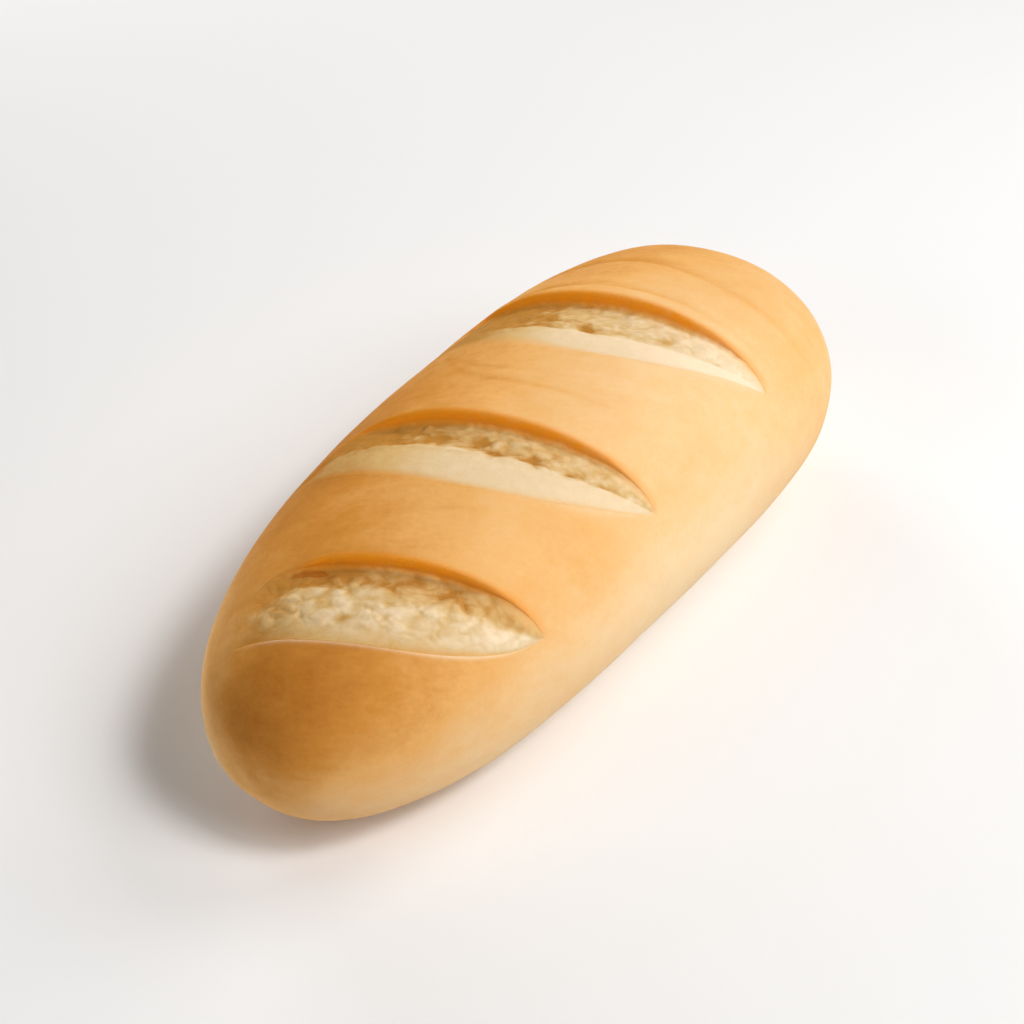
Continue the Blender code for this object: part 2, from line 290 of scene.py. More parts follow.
# Where the crumb is browned over like the crust: across at a worn far lip, across at any far lip,
# along at the right end, across at the near lip, and along at the right tip.
BROWN_WORN = (0.7, 0.92)
BROWN_FAR_LIP = (0.93, 0.98)
BROWN_RIGHT = (0.55, 0.9)
BROWN_RIGHT_SHARE = 0.8
BROWN_NEAR_LIP = (0.15, 0.04)
BROWN_NEAR_LIP_WIDER = 0.08  # at the right end
BROWN_TIP = (0.96, 1.0)
BROWN_TIP_SHARE = 0.5
BROWN_RAGGEDNESS = 0.03
BED_UNDERSIDE = (0.92, 0.76, 0.58, 0.38, 0.16)

# How finely the pieces are divided.
AROUND = 360
CROWN_CROWDING = 0.35
LEAST_GUIDE = 2 * MM
UNDER_GUIDE = 12 * MM
GUIDE_POWER = 6
STATION_ROOM = 14 * MM
LEAST_OPEN = 0.15  # the lines at a far lip aren't drawn closer together than at this openness
NEAR_STATIONS = (-4.5, -3.0, -1.9, -1.1, -0.5, 0.0, 0.3, 0.6, 0.9, 1.2, 1.6, 2.2)
HOLLOW_SHARES = (0.15, 0.35, 0.55, 0.72)
FAR_STATIONS = (8.0, 6.5, 5.3, 4.9, 4.5, 4.1, 3.7, 3.3, 2.9, 2.5, 2.1, 1.75, 1.4, 1.05, 0.7, 0.35, 0.0,
                -0.4, -0.9, -1.5, -2.3, -3.4, -4.8, -6.6, -9.0)
STEPS_NEAR_END = 44
STEPS_BETWEEN_SLASHES = 27
STEPS_FAR_END = 60
BED_STATIONS = 430
BED_POINTS = 150

# The camera, from the outline and the slashes in the photograph.
CAMERA_AZIMUTH = -54.2  # of the picture's right
CAMERA_ELEVATION = 41.0
CAMERA_DISTANCE = 0.6555
CAMERA_TARGET = Vector((0.0, -0.0035, 0.04))
CAMERA_LENS = 65.0
SHIFT_X = -0.0194
SHIFT_Y = -0.0086

# Soft square lights: name, bearing from the picture's right and elevation in degrees, size, power, and
# whether it shows in the crust's sheen. ROOM_STRENGTH is that of a faint light from all round.
LIGHTS = (
    ("key_soft", -30, 45, 0.7, 9.4, True),
    ("key_small", -30, 57, 0.3, 7.0, True),
    ("side", 30, 45, 0.7, 7.0, True),
    ("low_behind", 120, 8, 0.7, 17.5, False),
    ("front_left", -150, 25, 0.7, 3.8, True),
)
LIGHT_DISTANCE = 1.4
LIGHT_TARGET = Vector((0, 0, 0.03))
ROOM_COLOUR = (1.0, 0.99, 0.98, 1.0)
ROOM_STRENGTH = 0.035
FLOOR_SIZE = 8.0


def size_property(label, description, value, least=0.0):
    """A length that a user can change."""
    return bpy.props.FloatProperty(
        name=label, description=description, default=value, min=least, unit="LENGTH")


def colour_property(label, description, red, green, blue):
    """A colour that a user can change, in linear light."""
    return bpy.props.FloatVectorProperty(
        name=label, description=description, default=(red, green, blue, 1.0), subtype="COLOR", size=4,
        min=0.0, max=1.0)


class LoafSizes(bpy.types.PropertyGroup):
    """Sizes of the loaf and of its slashes."""

    length: size_property("Length", "Length of the whole loaf", 300 * MM, 100 * MM)
    width: size_property("Width", "Width of the plain loaf", 130 * MM, 50 * MM)
    height: size_property("Height", "Height of the plain loaf", 88 * MM, 30 * MM)
    rim_lift: size_property("Rim lift", "How far the crust is lifted behind a slash", 2.2 * MM)
    crumb_relief: size_property("Crumb relief", "Height of the largest tufts of the torn crumb", 0.7 * MM)
    # The holes' golden colour is painted shade.
    hole_depth: size_property("Hole depth", "Depth of the golden holes in the torn crumb", 0.5 * MM)


class LoafColours(bpy.types.PropertyGroup):
    """Colours of the crust, of the crumb and of the floor."""

    crust_pale: colour_property("Pale crust", "Crust low on the flanks", 0.87, 0.64, 0.37)
    crust_light: colour_property("Light crust", "Crust on the right of the crown", 0.85, 0.53, 0.24)
    crust_golden: colour_property("Golden crust", "Crust in the middle of the crown", 0.79, 0.41, 0.125)
    # Tan crust also carries painted shade on the left of the crown.
    crust_tan: colour_property("Tan crust", "Crust on the near end and left of the crown", 0.61, 0.25, 0.04)
    crust_brown: colour_property("Brown crust", "Crust where it is baked most", 0.4, 0.13, 0.01)
    crust_rim: colour_property("Crust rim", "Curled edge of the crust over a slash", 0.87, 0.275, 0.004)
    crumb_cream: colour_property("Cream crumb", "Crumb where it is palest", 0.9, 0.7, 0.48)
    # Straw and golden crumb also stand for painted shade in the crumb's creases, holes and walls.
    crumb_peach: colour_property("Peach crumb", "Crumb that dried a little", 0.77, 0.58, 0.345)
    crumb_straw: colour_property("Straw crumb", "Crumb that coloured a little", 0.64, 0.405, 0.155)
    crumb_golden: colour_property(
        "Golden crumb", "Crumb that dried and coloured in the oven", 0.46, 0.2, 0.03)
    floor: colour_property("Floor", "The plain floor", 0.85, 0.84, 0.83)


# -------------------- numbers and noise


def smoothstep(low, high, value):
    """0 below low, 1 above high, and 3s^2 - 2s^3 of the share s of the way between them."""
    share = np.clip((value - low) / (high - low), 0, 1)
    return share * share * (3 - 2 * share)


def eased(amount, low, high, value):
    """An amount that comes in smoothly between low and high."""
    return amount * smoothstep(low, high, value)


def through(knots, place):
    """A smooth curve through knots: a cubic between each two, sloped at each like its neighbours' line."""
    knots = np.asarray(knots, float)
    at, values = knots[:, 0], knots[:, 1:]
    slopes = np.gradient(values, at, axis=0)
    before = np.clip(np.searchsorted(at, place, side="right") - 1, 0, len(at) - 2)
    gap = (at[before + 1] - at[before])[..., None]
    share = np.clip((place - at[before])[..., None] / gap, 0, 1)
    start, end = values[before], values[before + 1]
    rise, fall = slopes[before] * gap, slopes[before + 1] * gap
    square, cube = share**2, share**3
    return ((2 * cube - 3 * square + 1) * start + (cube - 2 * square + share) * rise
            + (3 * square - 2 * cube) * end + (cube - square) * fall)


def scrambled(cell, seed):
    """A number from 0 to 1 for each whole-number cell: multiply, add and fold the bits over."""
    mixed = cell[..., 0] * 374761393 + cell[..., 1] * 668265263 + cell[..., 2] * 1274126177 + seed * 974711
    mixed = (mixed ^ (mixed >> 13)) * 1103515245
    mixed = (mixed ^ (mixed >> 17)) * 69069
    return ((mixed ^ (mixed >> 15)) & 0xFFFFFF) / float(0xFFFFFF)


def scrambled_place(cell, seed):
    """Three such numbers for each cell, as a place inside it."""
    return np.stack([scrambled(cell, seed + turn) for turn in (1, 2, 3)], axis=-1)


def noise(place, seed):
    """Gradient noise, about -1 to 1: each corner of a cell slopes its own way, blended smoothly."""
    cell = np.floor(place).astype(np.int64)
    inside = place - cell
    ease = inside**3 * (inside * (inside * 6 - 15) + 10)
    total = np.zeros(place.shape[:-1])
    for corner in itertools.product((0, 1), repeat=3):
        slope = scrambled_place(cell + np.array(corner), seed) * 2 - 1
        height = ((inside - corner) * slope).sum(axis=-1)
        total += height * np.prod(np.where(corner, ease, 1 - ease), axis=-1)
    return total * 1.6


# -------------------- the loaf's form


def superellipse(share, power):
    """(1 - |share|^power)^(1/power): 1 in the middle and 0 at a share of 1."""
    return np.clip(1 - np.abs(share) ** power, 0, 1) ** (1 / power)


def plain_loaf(sizes, x, angle):
    """The loaf before it is slashed: superellipses in plan, from the side and across, cut flat below."""
    share = x / (sizes.length / 2)
    plan = superellipse(share, np.where(share < 0, PLAN_NEAR, PLAN_FAR)) * (1 + WIDER_FAR * share)
    arch = superellipse(share, np.where(share < 0, ARCH_NEAR, ARCH_FAR)) * (1 + TALLER_FAR * share)
    across, upward = np.sin(angle), np.cos(angle)
    power = 2 / np.where(upward >= 0, CROWN_POWER, UNDER_POWER)
    side = -np.sign(across) * np.abs(across) ** power
    lift = np.sign(upward) * np.abs(upward) ** power
    waist = WAIST * sizes.height
    y = sizes.width / 2 * plan * side + SIDEWAYS_BOW * (1 - share**2)
    above = waist + (sizes.height - waist) * arch * lift
    below = waist + (waist + BASE_DROP) * np.minimum(1, UNDER_END_FULLNESS * arch) * lift
    z = np.maximum(np.where(lift >= 0, above, below), 0)
    return np.stack([x, y, z], axis=-1)


def outward(sizes, x, angle):
    """The direction square to the plain loaf, from a short step along it and one around it."""
    limit = sizes.length / 2 - SHORT_STEP
    inside = np.clip(x, -limit, limit)
    along = plain_loaf(sizes, inside + SHORT_STEP, angle) - plain_loaf(sizes, inside - SHORT_STEP, angle)
    around = plain_loaf(sizes, inside, angle + SHORT_TURN) - plain_loaf(sizes, inside, angle - SHORT_TURN)
    normal = np.cross(around, along)
    return normal / np.maximum(np.linalg.norm(normal, axis=-1, keepdims=True), TINY)


def raised(sizes, x, angle, height):
    """The place at a height above the plain loaf, which is gently uneven except at its base."""
    plain = plain_loaf(sizes, x, angle)
    free = smoothstep(0, 12 * MM, plain[..., 2])
    height = height + UNDULATION * noise(plain / UNDULATION_SIZE, 5) * free
    return plain + outward(sizes, x, angle) * height[..., None]


def progress(angle, left, right):
    """0 at the left end of a slash or fold and 1 at its right end, for angles between the two."""
    return np.clip((angle - math.radians(left)) / math.radians(right - left), 0, 1)


def lip_bow(along, bow, lean, fullness):
    """How far a lip lies from the slash's middle line: a sine arch that leans to one side."""
    return bow * np.abs(np.sin(math.pi * along**lean)) ** fullness


def tapered(slash, along):
    """1 along a slash, and less towards the tip in its hidden part: a smooth step."""
    return smoothstep(0, max(1.3 * slash["hidden"], TINY), along)


def seen(slash, along):
    """The way along a slash, counted from the end of its hidden part."""
    return (along - slash["hidden"]) / (1 - slash["hidden"])


def way_along(slash, angle):
    """0 at a slash's left tip and 1 at its right tip."""
    return progress(angle, slash["left_tip"], slash["right_tip"])


def both_bows(slash, angle):
    """How far the near lip and the far lip lie from the slash's middle line."""
    along = way_along(slash, angle)
    return lip_bow(along, *slash["near_lip"]), lip_bow(along, *slash["far_lip"]) * tapered(slash, along)


def lips(slash, angle):
    """x of the near lip and of the far lip."""
    middle = slash["middle"] + slash["slant"] * np.sin(angle)
    near_bow, far_bow = both_bows(slash, angle)
    return middle - near_bow, middle + far_bow


def openness(along):
    """1 in the middle of a slash and 0 at its tips, and less than a sine arch towards both."""
    left = LEFT_OPEN + (1 - LEFT_OPEN) * smoothstep(0, LEFT_FADE, along)
    right = 1 - RIGHT_FADE * smoothstep(*RIGHT_FADING, along)
    return np.sin(math.pi * along) ** TIP_FADE * (left * right)


# -------------------- the crust


def rim_share(slash, along):
    """How much of a curled rim there is along a slash: none at its worn left end and at its right tip."""
    place = seen(slash, along)
    return smoothstep(*slash["rim_start"], place) * smoothstep(*slash["rim_end"], place)


def rim_colouring(slash, along):
    """How much of the rim's colour shows along a slash: none where it is worn, and less at its right tip."""
    place = seen(slash, along)
    return smoothstep(*slash["tint_start"], place) * (1 - RIM_PALING * smoothstep(*RIM_PALES, place))


def slash_in_crust(sizes, slash, x, angle):
    """What one slash does to the crust at x and angle.

    Returns the height, the lean towards the near end, how much it is rim, and how torn it is, which
    also paints a pale highlight along a near lip.
    Behind the far lip the lifted crust settles. Inside comes LIP_SECTION, worn or curled as far as
    there is a rim, and then the hollow that the crumb fills. At the near lip the crust swells a
    little and drops.
    """
    near, far = lips(slash, angle)
    along = way_along(slash, angle)
    opened = openness(along)
    rim_here = rim_share(slash, along)
    width = np.maximum(far - near, NARROWEST)
    share = (x - near) / width
    behind = np.clip(x - far, 0, None)
    strength = opened * (WORN_LIFT + (1 - WORN_LIFT) * rim_here)
    settling = np.exp(-behind / RIM_SPREAD) - CREST_ROUNDING * np.exp(-behind / CREST_REACH)
    lift = sizes.rim_lift * strength * settling
    lean = RIM_LEAN * opened * rim_here * np.exp(-((behind / RIM_OVERHANG_REACH) ** 2))
    inward = np.clip(far - x, 0, None)
    reach = inward / (MM * np.maximum(opened, TINY))
    curled, worn = np.split(through(LIP_SECTION, reach), 2, axis=-1)
    edge = (worn + (curled - worn) * rim_here[..., None]) * MM
    at_edge = reach < LIP_SECTION[-1][0]
    past_lip = x - near
    drop = smoothstep(0, LIP_DROP, past_lip)
    slope = np.clip(share / TROUGH, 0, 1)
    hollow = -opened * HOLLOW_DEPTH * (LIP_DROP_SHARE * drop + (1 - LIP_DROP_SHARE) * slope)
    hollow = hollow - HOLLOW_GAP * drop * opened
    inside = (past_lip > 0) & (inward > 0)
    height = np.where(inside, np.where(at_edge, edge[..., 1] * opened, hollow), 0)
    height = np.where(x >= far, lift, np.where(past_lip <= 0, 0, np.maximum(height, hollow)))
    at_right = smoothstep(*RIGHT_PART, along)
    swell = slash["edge_swell"] * opened * np.exp(-((past_lip / SWELL_REACH) ** 2))
    swell = swell * (1 - SWELL_LOSS * at_right)
    height = height + np.where(x >= far, 0, swell)
    leaning = -edge[..., 0] * opened - inward
    shift = np.where(x >= far, lean, np.where(inside & at_edge, leaning, 0))
    far_half = x > (near + far) / 2
    spread = RIM_SPREADING * at_right
    rim = smoothstep(RIM_TINTED[0] - spread, RIM_TINTED[1] - spread, (far - x) / MM)
    rim = rim * far_half * rim_colouring(slash, along) * opened**RIM_TIP_POWER
    # Pale beside the near lip: a highlight painted along the lip's swell, and paler still towards the right
    # end.
    torn = np.exp(-((np.minimum(past_lip, 0) / (slash["pale_reach"] * (1 + at_right))) ** 2))
    torn = torn * (slash["pale_lip_highlight"] + TIP_PALING * at_right)
    torn = torn * smoothstep(*PALE_START, seen(slash, along)) * opened**PALE_TIP_POWER
    torn = torn * (past_lip < width / 2)
    torn = np.maximum(torn, inside * smoothstep(*HOLLOW_PALE, past_lip) * (reach > HOLLOW_PALE_IN))
    return height, shift, rim, torn


def groove(fold, x, angle):
    """1 in the middle of a fold: a bell across it, which fades out at both ends."""
    along = progress(angle, fold["left_end"], fold["right_end"])
    turn = np.clip((math.radians(FOLD_BEND_START) - angle) / math.radians(FOLD_BEND_TURN), 0, None)
    line = fold["middle"] + fold["slant"] * np.sin(angle) - fold["bend"] * turn**2
    return np.exp(-(((x - line) / fold["half_width"]) ** 2)) * np.sin(math.pi * along) ** 0.7


def baked(sizes, x, angle):
    """How far the crust is baked, 0 to 1: most on the crown's left, partly painted shade, and on the near
    end.

    It follows the way the surface faces, so it has no seam at the ends: least low on the right
    flank, and less in the middle of the loaf's length than at its far end. Less of it on the near
    end's left side is painted light over a band of shade.
    """
    facing = outward(sizes, x, angle)
    rightwards, upwards = -facing[..., 1], facing[..., 2]
    base = SIDE_BAKE - eased(*MIDDLE_PALER, x) + eased(*FAR_END_BROWNER, x)
    left = LEFT_BROWNER_AND_SHADED - eased(*LEFT_LESS_AT_FAR_END, x)
    low = LOW_PALER + eased(*LOW_MORE_AT_NEAR_END, x)
    # Browner where it faces left: partly baked, partly painted shade.
    side = base + left * smoothstep(*LEFT_FACING, rightwards) - low * smoothstep(*LOW_FACING, upwards)
    # The near end is paler on its left side, as painted light.
    near_end = END_BAKE - eased(*END_PALER_RIGHT, rightwards) - eased(*END_PAINTED_LIGHT_LEFT, rightwards)
    near_end = near_end - eased(*END_PAINTED_LIGHT_FAR_LEFT, rightwards) - eased(*END_PALER_LOW, upwards)
    return np.clip(side + (near_end - side) * smoothstep(*END_FROM, x), 0, 1)


def crust_skin(sizes, x, angle):
    """Every point of the crust, and its rim, torn and bake values."""
    height, shift, rim, torn = np.zeros((4, *x.shape))
    for slash in SLASHES:
        up, leaning, edge, opened = slash_in_crust(sizes, slash, x, angle)
        height += up
        shift += leaning
        rim = np.maximum(rim, edge)
        torn = np.maximum(torn, opened)
    bake = baked(sizes, x, angle)
    for fold in FOLDS:
        height -= fold["depth"] * groove(fold, x, angle)
        # Painted shade along each fold's groove.
        bake += fold["groove_shade"] * groove(fold, x, angle)
    limit = sizes.length / 2
    place = raised(sizes, np.clip(x - shift, -limit, limit), angle, height)
    return place, dict(rim=rim, torn=torn, bake=bake)


def way_under(angle, left, right):
    """0 to 1 on the way under the loaf from the right end of a slash back to its left end."""
    start = math.radians(right)
    gap = 2 * math.pi - math.radians(right - left)
    passed = np.where(angle >= start, angle - start, angle + 2 * math.pi - start)
    return np.where(passed > gap, 0, passed / gap)


def guide_sine(angle, left, right):
    """sin(angle) between two ends, and under the loaf a smooth way back from one end to the other."""
    start = math.sin(math.radians(left))
    end = math.sin(math.radians(right))
    under = way_under(angle, left, right)
    back = end + (start - end) * (1 - np.cos(math.pi * under)) / 2
    return np.where(under > 0, back, np.sin(angle))


def at_least(value, least):
    """The larger of two lengths, with a smooth change from one to the other."""
    return (value**GUIDE_POWER + least**GUIDE_POWER) ** (1 / GUIDE_POWER)


def slash_lines(slash, angle):
    """x of the grid's lines along a slash: close together at both lips, and few in the hollow."""
    middle = slash["middle"] + slash["slant"] * guide_sine(angle, slash["left_tip"], slash["right_tip"])
    near_bow, far_bow = both_bows(slash, angle)
    under = np.sin(math.pi * way_under(angle, slash["left_tip"], slash["right_tip"])) ** 2
    least = LEAST_GUIDE + (UNDER_GUIDE - LEAST_GUIDE) * under
    near = middle - at_least(near_bow, least)
    far = middle + at_least(far_bow, least)
    fit = np.minimum(1, (far - near) / STATION_ROOM)
    opened = np.maximum(openness(way_along(slash, angle)), LEAST_OPEN)
    first = [near + station * MM * np.where(station > 0, fit, 1) for station in NEAR_STATIONS]
    drawn = np.minimum(fit, opened)
    last = [far - station * MM * np.where(station > 0, drawn, 1) for station in FAR_STATIONS]
    hollow = [first[-1] + (last[0] - first[-1]) * share for share in HOLLOW_SHARES]
    return first + hollow + last


def in_turn(first, last, steps):
    """The lines between two others, first left out, in even steps."""
    return [first + (last - first) * step / steps for step in range(1, steps + 1)]


def lines_along(sizes, angle):
    """x of every line that crosses the loaf, from pole to pole, for each angle."""
    half = sizes.length / 2

    def turned(x):
        """The turn from the middle at which a circle of the loaf's length has this x."""
        return np.arcsin(np.clip(x / half, -1, 1))

    lines = [np.full_like(angle, -math.pi / 2)]
    groups = [(STEPS_NEAR_END, slash_lines(SLASHES[0], angle))]
    groups += [(STEPS_BETWEEN_SLASHES, slash_lines(slash, angle)) for slash in SLASHES[1:]]
    for steps, group in groups:
        lines += in_turn(lines[-1], turned(group[0]), steps)
        lines += [turned(line) for line in group[1:]]
    lines += in_turn(lines[-1], np.full_like(angle, math.pi / 2), STEPS_FAR_END)
    return half * np.sin(np.array(lines))


def column_angles():
    """The angle of each line from pole to pole: closer together on the crown than underneath."""
    even = (np.arange(AROUND) / AROUND * 2 - 1) * math.pi
    return even - CROWN_CROWDING * np.sin(even)


def settled(place):
    """How far the loaf is moved sideways, so that it stands in the middle of the solid's box."""
    across = place[..., 1]
    middle = (LOAF_BOX[0].y + LOAF_BOX[1].y) / 2
    return middle - (across.max() + across.min()) / 2


# -------------------- the crumb


def tufted(place, seed):
    """Round tufts with creases between them: the size of a noise, rounded where it is 0."""
    return np.sqrt(noise(place, seed) ** 2 + 0.006) * 2 - 0.65


def torn_relief(sizes, place, number):
    """Height of the torn crumb, its depth in a crease (painted shade there), and how golden its patches are.
    """
    slanted = place @ np.array(TUFT_DRAW)
    warp = [noise(slanted / TUFT_WARP_SIZE, 31 + number * 7 + turn) for turn in range(3)]
    warped = slanted + TUFT_WARP * np.stack(warp, axis=-1)
    tufts = tufted(warped / TUFT_SIZES[0], 11 + number)
    middling = tufted(warped / TUFT_SIZES[1], 12 + number)
    small = noise(warped / TUFT_SIZES[2], 13 + number)
    fine = noise(warped / TUFT_SIZES[3], 14 + number)
    height = tufts + 0.5 * middling + 0.15 * small + 0.05 * fine
    crease = 0.6 * smoothstep(0.1, -0.5, tufts) + 0.5 * smoothstep(0.1, -0.5, middling)
    broad, narrow = noise(warped / PATCH_SIZES[0], 41 + number), noise(warped / PATCH_SIZES[1], 43 + number)
    patches = 0.6 * broad + 0.5 * narrow
    patches = patches + 0.25 * small + 0.15 * fine
    return sizes.crumb_relief * height, crease, patches


def bed_surface(sizes, slash, along, across, lower):
    """Places of the bed's section, and how rough, golden and rim-coloured it is there.

    along has one column and across has one row for each of its values. All lengths across the
    slash shrink with its openness. Where there is no rim, the bed's far side runs out lower.
    """
    angle = math.radians(slash["left_tip"]) + along * math.radians(slash["right_tip"] - slash["left_tip"])
    near, far = lips(slash, angle)
    opened = openness(along)
    share, aside, height, rough, golden, rim = np.moveaxis(through(BEDS[slash["bed"]], across), -1, 0)
    rim_here = rim_share(slash, along)
    worn = (1 - rim_here) * smoothstep(*WORN_FROM, across)
    worn_aside, worn_height = np.moveaxis(through(WORN_SIDE, across), -1, 0)
    aside = aside + worn * (worn_aside - aside)
    height = height + worn * (worn_height - height)
    x = near + (far - near) * share + aside * MM * opened
    place = raised(sizes, x, angle + 0 * across, (height * MM - lower) * opened)
    rim = rim * rim_colouring(slash, along) * opened**RIM_TIP_POWER
    return place, rough, golden, rim, baked(sizes, x, angle + 0 * across)


def stepped(slash, along, across):
    """The way across, drawn in or out so that the section's step follows its place along the slash."""
    nominal = BED_STEPS[slash["bed"]]
    left, right = slash["step_place"]
    edge = left + (right - left) * smoothstep(*STEP_MOVES, seen(slash, along))
    before = across * nominal / edge
    after = nominal + (across - edge) * (1 - nominal) / (1 - edge)
    return np.where(across < edge, before, after)


def holes(slash, along, across, ragged):
    """Depth of holes painted golden as shade, 1 in a usual one's middle: a bell each way, ragged outline."""
    depth = np.zeros_like(across)
    wider, higher = HOLE_RAGGEDNESS
    for middle, place, size in slash["holes"]:
        lengthwise = (seen(slash, along) - middle + wider * ragged) / (HOLE_HALF_LENGTH * size)
        crosswise = (across - place - higher * ragged) / (HOLE_HALF_WIDTH * size**0.5)
        depth = np.maximum(depth, size * np.exp(-(lengthwise**2) - crosswise**2))
    return depth


def browned_over(slash, along, across, ragged, hole):
    """How brown the deep holes are, and how far the crumb there and at its edges looks like the crust."""
    at_right = smoothstep(*BROWN_RIGHT, along)
    inner, outer = BROWN_NEAR_LIP
    near_lip = smoothstep(inner + BROWN_NEAR_LIP_WIDER * at_right, outer, across)
    left_end, further_in = slash["browned"]
    brown = np.clip(2 * (hole - BROWN_HOLE), 0, 1)
    return brown, functools.reduce(np.maximum, (
        (1 - rim_share(slash, along)) * smoothstep(*BROWN_WORN, across),
        smoothstep(*BROWN_FAR_LIP, across),
        np.maximum(slash["lip_blend"], BROWN_RIGHT_SHARE * at_right) * near_lip,
        eased(BROWN_TIP_SHARE, *BROWN_TIP, along),
        smoothstep(further_in, left_end, seen(slash, along) + BROWN_RAGGEDNESS * ragged),
        brown))


def bed_grid(sizes, slash, number):
    """A bed of crumb: rings round its section, from the slash's left tip to its right tip.

    The upper part of a ring follows the bed's section, roughened by the torn relief. The lower part
    runs back underneath it, BED_THICKNESS lower. All of a ring shrinks to one point at each tip.
    """
    even = np.linspace(0, 1, BED_STATIONS)[:, None]
    along = (even + (1 - np.cos(math.pi * even)) / 2) / 2
    across = np.linspace(0, 1, BED_POINTS)[None, :] + 0 * along
    flat = bed_surface(sizes, slash, along, across, 0)[0]
    ragged = noise(flat / RAGGED_SIZES[0], 3 + number) + 0.5 * noise(flat / RAGGED_SIZES[1], 4 + number)
    comes_in, goes_out = WANDER_WITHIN
    wander = STEP_WANDER * ragged * smoothstep(*comes_in, across) * smoothstep(*goes_out, across)
    placed = stepped(slash, along, np.clip(across + wander, 0, 1))
    flat, rough, golden, rim, bake = bed_surface(sizes, slash, along, placed, 0)
    relief, crease, patches = torn_relief(sizes, flat, number)
    hole = holes(slash, along, across, ragged)
    opened = openness(along)
    height = (rough * relief - sizes.hole_depth * hole) * opened**RELIEF_TIP_POWER
    upwards = bed_surface(sizes, slash, along, placed, -MM)[0] - flat
    upwards = upwards / np.maximum(np.linalg.norm(upwards, axis=-1, keepdims=True), TINY)
    top = flat + upwards * height[..., None]
    place = seen(slash, along)
    # Painted shade towards the slash's left end, painted light towards its right end.
    golden = golden + eased(slash["golden_left"], *GOLD_LEFT, place)
    golden = golden - eased(slash["golden_right"], slash["right_start"], GOLD_RIGHT_END, place)
    # Golden in the creases and holes is painted shade; in the patches it is the crumb's own colour.
    golden = golden + rough * (PATCH_GOLD * patches + CREASE_SHADE_GOLD * crease - TUFT_PALING)
    golden = np.clip(golden + HOLE_SHADE_GOLD * hole, 0, 1)
    brown, browned = browned_over(slash, along, across, ragged, hole)
    bake = bake + BROWN_HOLE_BAKE * brown
    under = np.array(BED_UNDERSIDE)[None, :] + 0 * along
    below = bed_surface(sizes, slash, along, under, BED_THICKNESS)[0]
    values = dict(golden=golden, rim=rim, bake=bake, browned=browned)
    values = {name: np.concatenate([grid, 0 * under], axis=1) for name, grid in values.items()}
    return np.concatenate([top, below], axis=1), values


# -------------------- meshes


def closed_skin(name, rings, values):
    """A closed mesh over rings of points. The first and the last ring are each drawn to one point.

    rings has the shape (rings, points, 3). values holds arrays of the shape (rings, points), kept
    as attributes. Faces turn outwards: they are flipped if the volume they bound comes out negative.
    """
    count, around = rings.shape[0] - 2, rings.shape[1]
    points = np.concatenate([rings[:1].mean(axis=1), rings[1:-1].reshape(-1, 3), rings[-1:].mean(axis=1)])
    number = 1 + np.arange(count * around).reshape(count, around)
    beside = np.roll(number, -1, axis=1)
    quads = np.stack([number[:-1], beside[:-1], beside[1:], number[1:]], axis=-1).reshape(-1, 4)
    first = np.stack([np.zeros(around, int), beside[0], number[0]], axis=-1)
    last = np.stack([np.full(around, len(points) - 1), number[-1], beside[-1]], axis=-1)
    corner = points[quads]
    volume = (np.cross(corner[:, 0], corner[:, 1]) * corner[:, 2]).sum()
    volume += (np.cross(corner[:, 0], corner[:, 2]) * corner[:, 3]).sum()
    if volume < 0:
        quads, first, last = quads[:, ::-1], first[:, ::-1], last[:, ::-1]
    corners = np.concatenate([quads.ravel(), first.ravel(), last.ravel()]).astype(np.int32)
    sides = np.concatenate([np.full(len(quads), 4), np.full(2 * around, 3)]).astype(np.int32)
    mesh = bpy.data.meshes.new(name)
    mesh.vertices.add(len(points))
    mesh.vertices.foreach_set("co", points.astype(np.float32).ravel())
    mesh.loops.add(len(corners))
    mesh.loops.foreach_set("vertex_index", corners)
    mesh.polygons.add(len(sides))
    mesh.polygons.foreach_set("loop_start", np.concatenate([[0], np.cumsum(sides)[:-1]]).astype(np.int32))
    mesh.update(calc_edges=True)
    for label, grid in values.items():
        row = np.concatenate([grid[:1].mean(axis=1), grid[1:-1].ravel(), grid[-1:].mean(axis=1)])
        mesh.attributes.new(label, "FLOAT", "POINT").data.foreach_set("value", row.astype(np.float32))
    if mesh.validate():
        raise RuntimeError(f"{name}: the mesh had faces that Blender can't use")
    mesh.shade_smooth()
    piece = bpy.data.objects.new(name, mesh)
    bpy.context.scene.collection.objects.link(piece)
    return piece


# -------------------- materials


def new_group(name, result, **values):
    """An empty node group over a vector and some numbers, with one result, and its two ends."""
    group = bpy.data.node_groups.new(name, "ShaderNodeTree")
    group.interface.new_socket("Vector", in_out="INPUT", socket_type="NodeSocketVector")
    for label, value in values.items():
        socket = group.interface.new_socket(label, in_out="INPUT", socket_type="NodeSocketFloat")
        socket.default_value = value
    group.interface.new_socket(result, in_out="OUTPUT", socket_type="NodeSocketFloat")
    return group, group.nodes.new("NodeGroupInput"), group.nodes.new("NodeGroupOutput")


def feed(tree, *pairs):
    """Link each socket to its value, or set it where the value isn't a socket."""
    for socket, value in pairs:
        if isinstance(value, bpy.types.NodeSocket):
            tree.links.new(value, socket)
        else:
            socket.default_value = value


def set_inputs(node, **values):
    """Set sockets of a node by their names, in which an underscore stands for a space."""
    for label, value in values.items():
        node.inputs[label.replace("_", " ")].default_value = value


def maths(tree, operation, first, second=0.0, clamp=False):
    """A Math node on two sockets or numbers, and its result."""
    node = tree.nodes.new("ShaderNodeMath")
    node.operation = operation
    node.use_clamp = clamp
    feed(tree, *zip(node.inputs, (first, second)))
    return node.outputs[0]


